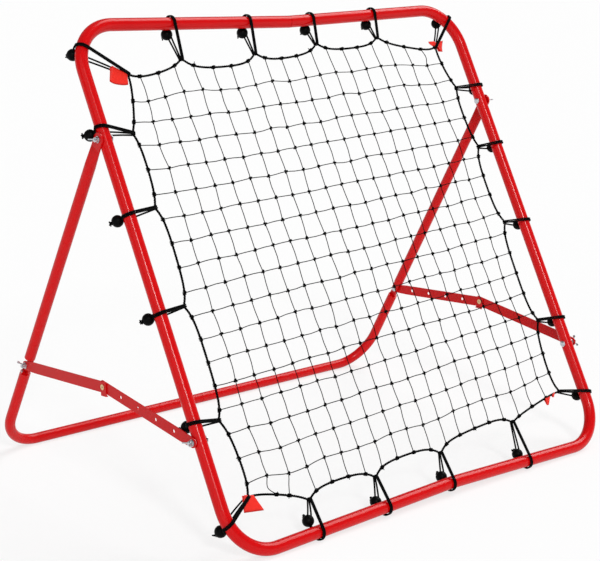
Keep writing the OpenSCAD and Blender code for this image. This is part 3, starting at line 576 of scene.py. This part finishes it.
plan = knot_plan()
net = Shape()
for i in range(1, NET_COLS):
    net.strand(twine_path([plan[i, j] for j in range(NET_ROWS + 1)], SLACK.get(i)),
               TWINE_R, TWINE_SIDES)
for j in range(1, NET_ROWS):
    net.strand(twine_path([plan[i, j] for i in range(NET_COLS + 1)]), TWINE_R, TWINE_SIDES)
for j in range(1, NET_ROWS):
    for i in range(1, NET_COLS):
        knot_loop(in_frame(plan[i, j][:2], plan[i, j][2]), KNOT_R, KNOT_TWINE_R, net)
net.piece("knotted_net", net_twine, "net_twine", stands_for=["net_mesh"])

# ---- Border rope and its lashings -----------------------------------------------------------

def rope_route():
    """The rope's middle line, clockwise from the top left corner, in millimetres."""
    steps = 40
    route = []
    for side, way in ((TOP, 1), (RIGHT, 1), (BOTTOM, -1), (LEFT, -1)):
        for a, b in list(zip(side[1][:-1], side[1][1:]))[::way]:
            a, b = (a, b) if way == 1 else (b, a)
            route += [side_point(side, a + (b - a) * n / steps) for n in range(steps)]
    return np.array(route)


def even_steps(route, step):
    """The closed route in even steps, and its length."""
    closed = np.vstack([route, route[:1]])
    along = np.concatenate([[0.0], np.cumsum(np.linalg.norm(np.diff(closed, axis=0), axis=1))])
    count = int(along[-1] / step)
    marks = along[-1] * np.arange(count) / count
    return np.stack([np.interp(marks, along, closed[:, n]) for n in (0, 1)], 1), along[-1]


line, rope_length = even_steps(rope_route(), ROPE_STEP)
line = sum(np.roll(line, n, 0) for n in (-1, 0, 1)) / 3     # rounds the bends at the holds
run = np.roll(line, -1, 0) - np.roll(line, 1, 0)
outward = np.stack([-run[:, 1], run[:, 0]], 1) / np.linalg.norm(run, axis=1)[:, None]
turns = round(rope_length / ROPE_LAY)
rope = Shape()
for strand in range(ROPE_STRANDS):
    angle = 2 * math.pi * (turns * np.arange(len(line)) / len(line) + strand / ROPE_STRANDS)
    path = [in_frame(p + o * math.cos(a) * ROPE_R * STRAND_AT, math.sin(a) * ROPE_R * STRAND_AT)
            for p, o, a in zip(line, outward, angle)]
    rope.strand(path, ROPE_R * STRAND_R, TWINE_SIDES, closed=True)
rope.piece("laid_border_rope", rope_fibre, "border_rope", stands_for=["net_border_rope"])


def lashing(shape, place, direction):
    """Twine wound round the rope where a mesh ends, with its knot and its cut end left
    standing."""
    wound, width, radius = 3.2, 7.5, ROPE_R + TWINE_R * 0.8     # turns and sizes
    steps, sides = 33, 5
    end_along, end_out, end_lift = 3, 7, 5      # how far the cut end may stand each way
    root, bend = 0.5, 0.7       # how high it starts, and how much of its rise is done half-way
    thin = 0.7                  # its width at the tip, as a part of the twine's
    knot_sunk, knot_size, knot_twine, knot_steps = 0.7, 0.8, 0.9, 16    # parts, and steps round
    out = flat(-direction[1], direction[0])
    start = rng.uniform(0, 2 * math.pi)
    path = []
    for n in range(steps + 1):
        t = n / steps
        a = start + wound * 2 * math.pi * t
        mid = place + direction * (t - 0.5) * width
        path.append(in_frame(mid + out * math.cos(a) * radius, math.sin(a) * radius))
    shape.strand(path, TWINE_R, sides)
    tip = (place + direction * rng.uniform(-end_along, end_along)
           + out * rng.uniform(-end_out, end_out))
    lift = rng.uniform(-end_lift, end_lift)
    shape.strand([in_frame(place, radius * root), in_frame((place + tip) / 2, lift * bend),
                  in_frame(tip, lift)], [TWINE_R, TWINE_R, TWINE_R * thin], sides)
    knot_loop(in_frame(place, -radius * knot_sunk), KNOT_R * knot_size,
              KNOT_TWINE_R * knot_twine, shape, knot_steps)


lashings = Shape()
edge_meshes = ([(i, j) for j in (0, NET_ROWS) for i in range(1, NET_COLS)]
               + [(i, j) for i in (0, NET_COLS) for j in range(1, NET_ROWS)])
for mesh_end in edge_meshes:
    nearest = int(np.argmin(np.linalg.norm(line - plan[mesh_end][:2], axis=1)))
    lashing(lashings, line[nearest], unit(run[nearest]))
lashings.piece("twine_lashings", net_twine, "net_twine")

# ---- Corner tags ----------------------------------------------------------------------------

TAG_ROWS, TAG_COLS = 17, 9
TAG_CLOTH = 0.5             # thickness of the cloth
TAG_OPEN = 3.4              # half the gap between its layers where they are sewn
TAG_SHUT = 0.7              # and at the fold
TAG_TURN = 4                # at the fold the layers turn over in one part of this many
TAG_WAVE, TAG_WAVE_FROM = 2.4, 0.6      # radians of the wave across the tag


def flap(shape, sewn, folded, curl, rounding):
    """A doubled tab of cloth: sewn to the net's corner by one edge, folded at the other. The
    wave at the fold is curl millimetres high, and rounding draws the fold's corners back."""
    a, b, c, d = (flat(*p) for p in sewn + folded)
    grid = np.zeros((TAG_ROWS, TAG_COLS, 3))
    for r in range(TAG_ROWS):
        t = r / (TAG_ROWS - 1)
        out = 1 - abs(2 * t - 1)
        layer = math.copysign(1, t - 0.5) * min(1, abs(2 * t - 1) * TAG_TURN)
        for k in range(TAG_COLS):
            s = k / (TAG_COLS - 1)
            reach = out * (1 - rounding * abs(2 * s - 1) ** 3)
            place = (a * (1 - s) + b * s) * (1 - reach) + (c * (1 - s) + d * s) * reach
            gap = layer * (TAG_SHUT + (TAG_OPEN - TAG_SHUT) * (1 - out) ** 2)
            wave = curl * out ** 2 * math.sin(TAG_WAVE * s + TAG_WAVE_FROM)
            grid[r, k] = in_frame(place, gap + wave)
    shape.sheet(grid)


def sewn_tag(corner, flaps):
    """The tag of a corner, cut to a width and length in millimetres; where it is bunched under
    the cord it shows as more flaps than one."""
    shape = Shape()
    for one in flaps:
        flap(shape, *one)
    tag = shape.piece("sewn_tag_" + corner, tag_cloth, "tag_fabric",
                      stands_for=["corner_tag_" + corner])
    tag.modifiers.new("cloth", "SOLIDIFY").thickness = TAG_CLOTH * MM


sewn_tag("top_left",
         [([(-450, 941), (-421, 923)], [(-463, 909), (-424, 900)], 3.0, 0.1)])
sewn_tag("top_right",
         [([(431, 946), (436, 926)], [(464, 952), (447, 924)], 5.0, 0.05),
          ([(428, 949), (431, 938)], [(412, 951), (419, 940)], 2.0, 0.1)])
sewn_tag("bottom_left",
         [([(-458, 106), (-438, 101)], [(-467, 76), (-423, 70)], 1.0, 0.0)])
sewn_tag("bottom_right",
         [([(383, 117), (400, 118)], [(386, 102), (391, 102)], 2.0, 0.0),
          ([(408, 121), (419, 124)], [(412, 114), (415, 115)], 1.0, 0.0)])

# ---- Ball bungees ---------------------------------------------------------------------------

def bar_drop(across, joint):
    """How far a bar is drawn in at a place across."""
    side = 1 if across < joint else -1
    return BAR_DRAW * min(max((BEND_X + side * across) / (BEND_X + side * joint), 0), 1)


def top_tube(across):
    return across, FRAME_SIZE - bar_drop(across, TOP_JOINT)


def bottom_tube(across):
    return across, bar_drop(across, BOTTOM_JOINT)


def corner_tube(side, high, degrees):
    a = math.radians(degrees)
    return (side * BEND_X + CORNER_R * math.cos(a),
            (FRAME_SIZE - CORNER_R if high else CORNER_R) + CORNER_R * math.sin(a))


# Each bungee's place on its tube and on the border; a side's first and last hold are corners.
TOP_PAIRS = list(zip(map(top_tube, TOP_LOOPS), TOP_HOLD[1:-1]))
BOTTOM_PAIRS = list(zip(map(bottom_tube, BOTTOM_LOOPS), BOTTOM_HOLD[1:-1]))
LEFT_PAIRS = [((-HALF_W, up), hold) for up, hold in zip(LEFT_LOOPS, LEFT_HOLD[1:-1])]
RIGHT_PAIRS = [((HALF_W, up), hold) for up, hold in zip(RIGHT_LOOPS, RIGHT_HOLD[1:-1])]
CORNER_PAIRS = [(corner_tube(-1, True, TOP_LEFT_BEND), TOP_HOLD[0]),
                (corner_tube(1, True, TOP_RIGHT_BEND), TOP_HOLD[-1]),
                (corner_tube(-1, False, BOTTOM_LEFT_BEND), BOTTOM_HOLD[0]),
                ((HALF_W, BOTTOM_RIGHT_UP), BOTTOM_HOLD[-1])]

# Each side's bungees: pairs of places, the balls' angles round the tube, their knots' turn, and
# how far each ball hangs from there, towards the net and sideways.
BUNGEES = {
    "top": (TOP_PAIRS, (58, 58, 58, 58), 30, ((0, 0), (0, 0), (0, 0), (0, 0))),
    "bottom": (BOTTOM_PAIRS, (42, 54, 48, 42), -5, ((6, 4), (0, 3), (0, 0), (0, 1))),
    "left": (LEFT_PAIRS, (124, 124, 124, 90), 25, ((0, -7), (0, -1), (0, 0), (0, 0))),
    "right": (RIGHT_PAIRS, (124, 112, 106, 106), 15, ((0, 0), (0, 0), (0, 0), (0, 0))),
    "corner": (CORNER_PAIRS, (96, 96, 96, 96), 20, ((-3, -4), (0, -7), (-3, -6), (0, 0))),
}
BALL_PROFILE_STEPS = 16
HOLE_R = 3.0                # hole through the ball
RIM_DEPTH, RIM_DRAW = 2.5, 1.0      # the hole is seen so deep, and narrows by so much
LIP_DEPTH, LIP_DRAW = 0.3, 0.4      # the same for its rounded lip
SEAM_RISE, SEAM_HALF = 0.25, 0.5    # the mould's seam round the ball's middle

CLEAR_OF_BALL = 12          # degrees round the tube from the ball's middle to the cord's start
ROPE_ARC_STEP = 20          # degrees
CORD_PIECE = 6              # millimetres between the cord's points
CORD_SIDES = 8
ENTRY_IN, ENTRY_OUT = 0.62, 0.9 * 0.35      # the cord's way into the ball, in ball radii
ENTRY_Z, CROSS_Z = 4.6, 2.4     # half the gap between the strands before and inside the ball
START_Z = STRAND_Z * 0.7        # the same where the cord starts in the ball
END_KNOT_R, END_KNOT_UP = 3.0, 1.2      # the knot in the cord's ends, on the ball
END_KNOT_CORD_R = CORD_R * 0.85         # the cord in it, pulled thin
END_KNOT_STEPS = 22
TAIL_UP, TAIL_OUT = (1, 3), (3, 6)      # how far the cord's cut ends stand from the knot
TAIL_BOW = 0.8
TAIL_LEAN = (0.3, 0.4)      # x and z of a line that each end leans square to, with y -1 or 1
TAIL_R = [CORD_R * 0.9, CORD_R * 0.9, CORD_R * 0.8]
TAIL_SIDES = 7


def polar(radius, degrees):
    a = math.radians(degrees)
    return flat(radius * math.cos(a), radius * math.sin(a))


def arc(centre, radius, start, end, step=9):
    count = max(2, round(abs(end - start) / step))
    return [centre + polar(radius, start + (end - start) * n / count) for n in range(count + 1)]


def ball_profile():
    """Half section of the ball: a hole at each pole with a rounded rim, and the mould's seam."""
    rim = math.degrees(math.asin(HOLE_R / BALL_R))
    rows = [(-BALL_R * math.cos(math.radians(rim)) + RIM_DEPTH, HOLE_R - RIM_DRAW),
            (-BALL_R * math.cos(math.radians(rim)) + LIP_DEPTH, HOLE_R - LIP_DRAW)]
    for n in range(BALL_PROFILE_STEPS + 1):
        a = math.radians(rim + (180 - 2 * rim) * n / BALL_PROFILE_STEPS)
        rows.append((-BALL_R * math.cos(a), BALL_R * math.sin(a)))
    middle = 2 + BALL_PROFILE_STEPS // 2
    rows[middle:middle + 1] = [(-SEAM_HALF, BALL_R), (0.0, BALL_R + SEAM_RISE),
                               (SEAM_HALF, BALL_R)]
    rows += [(-rows[1][0], rows[1][1]), (-rows[0][0], rows[0][1])]
    return rows


def bungee(cords, balls, tube, hold, ball_at, knot_turn, hang):
    """One bungee: an elastic loop from its ball round the tube, round the net's rope and back.
    Its plane holds the line from the tube to the rope; x runs along that line from the tube's
    middle, y behind the net and z to the side."""
    tube, hold = flat(*tube), flat(*hold)
    reach = float(np.linalg.norm(hold - tube))
    along = (hold - tube) / reach
    beside = flat(-along[1], along[0])

    def place(x, y, z):
        return in_frame(tube + along * x + beside * z, y)

    def lift(point):
        """Off the ground, where the loop passes under a bar that nearly lies on it."""
        return np.array([point[0], point[1], max(point[2], CORD_R * MM)])

    ball = polar(BALL_REACH, ball_at) + flat(hang[0], 0)
    aside = hang[1]
    rope = flat(reach, 0)
    tilt = math.degrees(math.asin((CORD_TURN_R - ROPE_TURN_R) / reach))
    span = rope - ball
    back = (math.degrees(math.atan2(span[1], span[0]))
            + math.degrees(math.asin(ROPE_TURN_R / np.linalg.norm(span))))
    side = (arc(flat(0, 0), CORD_TURN_R, ball_at + CLEAR_OF_BALL, 270 + tilt)
            + arc(rope, ROPE_TURN_R, tilt - 90, 90 + back, ROPE_ARC_STEP))
    entry = (ball - polar(BALL_R * ENTRY_IN, back + 180)
             + polar(BALL_R * ENTRY_OUT, ball_at + 180))
    half = ([(ball[0], ball[1], START_Z)] + [(x, y, STRAND_Z) for x, y in side]
            + [(entry[0], entry[1], ENTRY_Z)])
    route = (half + [(ball[0], ball[1], CROSS_Z), (ball[0], ball[1], -CROSS_Z)]
             + [(x, y, -z) for x, y, z in half[::-1]])
    path = []
    for a, b in zip(route[:-1], route[1:]):
        count = max(1, round(math.dist(a, b) / CORD_PIECE))
        path += [np.array(a) + (np.array(b) - np.array(a)) * n / count for n in range(count)]
    path.append(np.array(route[-1]))
    for p in path:
        # The runs lean to where the ball hangs; the turn round the net's rope stays.
        p[2] += aside * min(max((reach - p[0]) / (reach - ball[0]), 0), 1) ** 2 * (p[1] > 0)
    cords.strand([lift(place(*p)) for p in path], CORD_R, CORD_SIDES)

    knot_at = polar(1.0, ball_at + knot_turn)
    centre = place(ball[0], ball[1], aside)
    axis = unit(place(ball[0] + knot_at[0], ball[1] + knot_at[1], aside) - centre)
    balls.turned(ball_profile(), centre, axis)
    knot_centre = centre + axis * (BALL_R + END_KNOT_UP) * MM
    knot_loop(knot_centre, END_KNOT_R, END_KNOT_CORD_R, cords, END_KNOT_STEPS)
    for way in (-1, 1):
        lean_out = unit(np.cross(axis, np.array([TAIL_LEAN[0], way, TAIL_LEAN[1]])))
        tip = knot_centre + (axis * rng.uniform(*TAIL_UP)
                             + lean_out * rng.uniform(*TAIL_OUT)) * MM
        cords.strand([knot_centre, (knot_centre + tip) / 2 + axis * TAIL_BOW * MM, tip],
                     TAIL_R, TAIL_SIDES)


for side_name, (pairs, balls_at, knot_turn, hangs) in BUNGEES.items():
    cords, balls = Shape(), Shape()
    for (tube, hold), ball_at, hang in zip(pairs, balls_at, hangs):
        bungee(cords, balls, tube, hold, ball_at, knot_turn, hang)
    cords.piece("elastic_loops_" + side_name, elastic, "elastic_cord",
                stands_for=["bungee_cords_" + side_name])
    balls.piece("moulded_balls_" + side_name, ball_plastic, "bungee_ball",
                stands_for=["bungee_balls_" + side_name])

# ---- Floor, light and camera ----------------------------------------------------------------

FLOOR_SIZE = 60.0           # metres
FLOOR_WHITE = "#F6F6F6"
FLOOR_GLOW = 0.7            # share of plain white in the floor where it is seen
SKY_TOP, SKY_RIM = 0.3, 0.97   # the world's light overhead and at the horizon
RIM_HEIGHT = 0.3            # of the bright rim, as the sine of its elevation


def new_tree(block):
    block.use_nodes = True
    block.node_tree.nodes.clear()
    return block.node_tree


world = bpy.data.worlds.new("studio")
bpy.context.scene.world = world
tree = new_tree(world)
way = add(tree, "ShaderNodeSeparateXYZ",
          links={0: add(tree, "ShaderNodeTexCoord").outputs["Generated"]})
level = add(tree, "ShaderNodeMapRange",
            {"interpolation_type": "SMOOTHSTEP", "From Max": RIM_HEIGHT,
             "To Min": SKY_RIM, "To Max": SKY_TOP}, {"Value": way.outputs["Z"]})
sky = add(tree, "ShaderNodeBackground", {"Color": (1, 1, 1, 1)}, {"Strength": level.outputs[0]})
add(tree, "ShaderNodeOutputWorld", links={"Surface": sky.outputs[0]})

paint = bpy.data.materials.new("matt_white_floor")
tree = new_tree(paint)
rays = add(tree, "ShaderNodeLightPath").outputs
seen = add(tree, "ShaderNodeMath", {"operation": "MAXIMUM"},
           {0: rays["Is Camera Ray"], 1: rays["Is Glossy Ray"]})
seen = add(tree, "ShaderNodeMath", {"operation": "MAXIMUM"},
           {0: seen.outputs[0], 1: rays["Is Transmission Ray"]})
share = add(tree, "ShaderNodeMath", {"operation": "MULTIPLY", 1: FLOOR_GLOW},
            {0: seen.outputs[0]})
matt = add(tree, "ShaderNodeBsdfDiffuse", {"Color": colour(FLOOR_WHITE)})
glow = add(tree, "ShaderNodeEmission", {"Color": (1, 1, 1, 1), "Strength": 1.0})
both = add(tree, "ShaderNodeMixShader",
           links={0: share.outputs[0], 1: matt.outputs[0], 2: glow.outputs[0]})
add(tree, "ShaderNodeOutputMaterial", links={"Surface": both.outputs[0]})

half = FLOOR_SIZE / 2
floor_mesh = bpy.data.meshes.new("floor")
floor_mesh.from_pydata([(-half, -half, 0), (half, -half, 0), (half, half, 0), (-half, half, 0)],
                       [], [(0, 1, 2, 3)])
floor_mesh.materials.append(paint)
floor = bpy.data.objects.new("floor", floor_mesh)
bpy.context.scene.collection.objects.link(floor)

# Soft lamps far off: strength, how wide each looks in degrees, and where it shines from.
LAMPS = {"overhead_softbox": (1.75, 38, (0.65, 0.0, 0.76)),
         "front_strip": (1.05, 10, (-0.288, -0.749, 0.593)),
         "left_fill": (0.75, 70, (-0.7, -0.6, 0.4))}
LAMP_AWAY = 4
for name, (strength, width, source) in LAMPS.items():
    sun = bpy.data.lights.new(name, "SUN")
    sun.energy, sun.angle = strength, math.radians(width)
    lamp = bpy.data.objects.new(name, sun)
    lamp.location = Vector(source) * LAMP_AWAY
    lamp.rotation_mode = "QUATERNION"
    lamp.rotation_quaternion = (-Vector(source)).to_track_quat("-Z", "Y")
    bpy.context.scene.collection.objects.link(lamp)

CAMERA_PLACE = Vector((-2.1209, -2.3202, 1.1398))
CAMERA_AIM = Vector((-0.04497, -0.00766, 0.37647))
CAMERA_ROLL = 1.1942        # degrees
CAMERA_LENS, SENSOR_WIDTH = 92.764, 36.0    # millimetres
camera_data = bpy.data.cameras.new("camera")
camera_data.lens, camera_data.sensor_width = CAMERA_LENS, SENSOR_WIDTH
camera = bpy.data.objects.new("camera", camera_data)
camera.location = CAMERA_PLACE
camera.rotation_mode = "QUATERNION"
camera.rotation_quaternion = ((CAMERA_AIM - CAMERA_PLACE).to_track_quat("-Z", "Y")
                              @ Quaternion((0, 0, 1), math.radians(CAMERA_ROLL)))
bpy.context.scene.collection.objects.link(camera)
bpy.context.scene.camera = camera
bpy.context.scene.view_settings.view_transform = "Standard"
